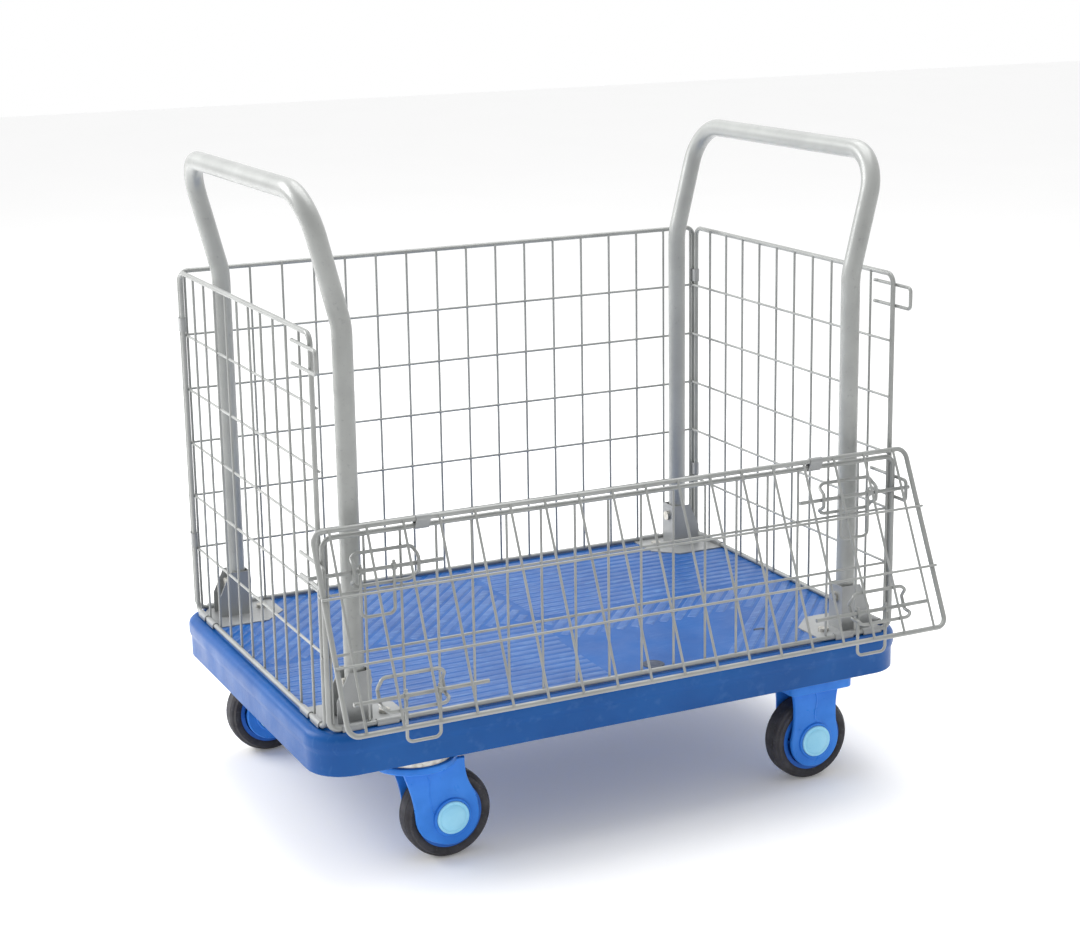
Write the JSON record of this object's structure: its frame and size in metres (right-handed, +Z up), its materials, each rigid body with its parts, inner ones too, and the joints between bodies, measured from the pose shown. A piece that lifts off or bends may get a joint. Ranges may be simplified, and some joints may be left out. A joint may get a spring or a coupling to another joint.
{
  "type": "folding platform cart",
  "caption": "Four-wheeled platform cart with a moulded deck, two tube handles and a welded-wire cage whose front gate folds down.",
  "frame": {"origin": "on the floor, under the middle of the whole cart with its gate hanging", "axes": "+X along the deck to the fixed castors, +Y to the back panel, +Z up"},
  "size_m": [0.91, 0.7066, 0.9225],
  "materials": {
    "deck": "satin moulded plastic",
    "fork": "satin moulded plastic",
    "wheel_core": "satin moulded plastic",
    "hub_cap": "satin moulded plastic",
    "tyre": "matt grey elastomer",
    "nylon": "natural nylon",
    "wire": "zinc plated, satin",
    "tube": "silver-grey powder coat",
    "sheet": "zinc plated, satin",
    "steel_parts": "zinc plated"
  },
  "bodies": {
    "cart": {"axle_fixed": "steel_parts", "back_panel": "wire", "base_plate_bolts": "steel_parts", "base_plate_front_left": "sheet", "base_plate_front_right": "sheet", "base_plate_rear_left": "sheet", "base_plate_rear_right": "sheet", "bracket_bolts": "steel_parts", "bracket_front_left": "sheet", "bracket_front_right": "sheet", "bracket_rear_left": "sheet", "bracket_rear_right": "sheet", "castor_screws": "steel_parts", "corner_clips": "sheet", "deck": "deck", "end_panel_left": "wire", "end_panel_right": "wire", "fork_front_right": "fork", "fork_rear_right": "fork", "front_latch_guides": "wire", "front_panel": "wire", "gate_hinge_clips": "sheet", "handle_left": "tube", "handle_right": "tube", "hub_caps_fixed": "hub_cap", "keepers_left": "wire", "keepers_right": "wire", "kingpin_front_left": "steel_parts", "kingpin_rear_left": "steel_parts", "swivel_race_front_left": "steel_parts", "swivel_race_rear_left": "steel_parts"},
    "swivel_front_left": {"fork_front_left": "fork", "axle_front_left": "steel_parts", "hub_caps_front_left": "hub_cap"},
    "swivel_rear_left": {"fork_rear_left": "fork", "axle_rear_left": "steel_parts", "hub_caps_rear_left": "hub_cap"},
    "wheel_front_left": {"tyre_front_left": "tyre", "wheel_core_front_left": "wheel_core", "bearing_sleeve_front_left": "nylon"},
    "wheel_rear_left": {"tyre_rear_left": "tyre", "wheel_core_rear_left": "wheel_core", "bearing_sleeve_rear_left": "nylon"},
    "wheel_front_right": {"tyre_front_right": "tyre", "wheel_core_front_right": "wheel_core", "bearing_sleeve_front_right": "nylon"},
    "wheel_rear_right": {"tyre_rear_right": "tyre", "wheel_core_rear_right": "wheel_core", "bearing_sleeve_rear_right": "nylon"},
    "gate": {"gate": "wire", "gate_latch_guides": "wire"},
    "front_bolt_left": {"front_bolt_left": "wire"},
    "front_bolt_handle_left": {"front_bolt_handle_left": "wire"},
    "front_bolt_right": {"front_bolt_right": "wire"},
    "front_bolt_handle_right": {"front_bolt_handle_right": "wire"},
    "gate_bolt_left": {"gate_bolt_left": "wire"},
    "gate_bolt_handle_left": {"gate_bolt_handle_left": "wire"},
    "gate_bolt_right": {"gate_bolt_right": "wire"},
    "gate_bolt_handle_right": {"gate_bolt_handle_right": "wire"}
  },
  "joints": [
    {"name": "swivel_front_left", "type": "hinge", "parent": "cart", "child": "swivel_front_left", "pos_m": [-0.3, -0.19, 0.15], "axis": [0, 0, 1], "continuous": true},
    {"name": "swivel_rear_left", "type": "hinge", "parent": "cart", "child": "swivel_rear_left", "pos_m": [-0.3, 0.29, 0.15], "axis": [0, 0, 1], "continuous": true},
    {"name": "wheel_front_left", "type": "hinge", "parent": "swivel_front_left", "child": "wheel_front_left", "pos_m": [-0.256, -0.19, 0.0625], "axis": [0, 1, 0], "continuous": true},
    {"name": "wheel_rear_left", "type": "hinge", "parent": "swivel_rear_left", "child": "wheel_rear_left", "pos_m": [-0.344, 0.29, 0.0625], "axis": [0, 1, 0], "continuous": true},
    {"name": "wheel_front_right", "type": "hinge", "parent": "cart", "child": "wheel_front_right", "pos_m": [0.32, -0.19, 0.0625], "axis": [0, 1, 0], "continuous": true},
    {"name": "wheel_rear_right", "type": "hinge", "parent": "cart", "child": "wheel_rear_right", "pos_m": [0.32, 0.29, 0.0625], "axis": [0, 1, 0], "continuous": true},
    {"name": "gate_hinge", "type": "hinge", "parent": "cart", "child": "gate", "pos_m": [0, -0.241, 0.491], "axis": [-1, 0, 0], "range_deg": [-15, 155]},
    {"name": "front_bolt_left", "type": "slide", "parent": "cart", "child": "front_bolt_left", "axis": [1, 0, 0], "range_m": [0, 0.024]},
    {"name": "front_bolt_handle_left", "type": "hinge", "parent": "front_bolt_left", "child": "front_bolt_handle_left", "pos_m": [-0.363, -0.2432, 0.433], "axis": [-1, 0, 0], "range_deg": [0, 30]},
    {"name": "gate_bolt_left", "type": "slide", "parent": "gate", "child": "gate_bolt_left", "axis": [-1, 0, 0], "range_m": [0, 0.024]},
    {"name": "gate_bolt_handle_left", "type": "hinge", "parent": "gate_bolt_left", "child": "gate_bolt_handle_left", "pos_m": [-0.339, -0.32591, 0.28951], "axis": [1, 0, 0], "range_deg": [-15, 155]},
    {"name": "front_bolt_right", "type": "slide", "parent": "cart", "child": "front_bolt_right", "axis": [-1, 0, 0], "range_m": [0, 0.024]},
    {"name": "front_bolt_handle_right", "type": "hinge", "parent": "front_bolt_right", "child": "front_bolt_handle_right", "pos_m": [0.363, -0.2432, 0.433], "axis": [-1, 0, 0], "range_deg": [0, 30]},
    {"name": "gate_bolt_right", "type": "slide", "parent": "gate", "child": "gate_bolt_right", "axis": [1, 0, 0], "range_m": [0, 0.024]},
    {"name": "gate_bolt_handle_right", "type": "hinge", "parent": "gate_bolt_right", "child": "gate_bolt_handle_right", "pos_m": [0.339, -0.32591, 0.28951], "axis": [1, 0, 0], "range_deg": [-15, 155]}
  ],
  "couplings": [
    {"joint": "gate_bolt_handle_left", "follows": "gate_hinge", "ratio": 1},
    {"joint": "gate_bolt_handle_right", "follows": "gate_hinge", "ratio": 1}
  ]
}
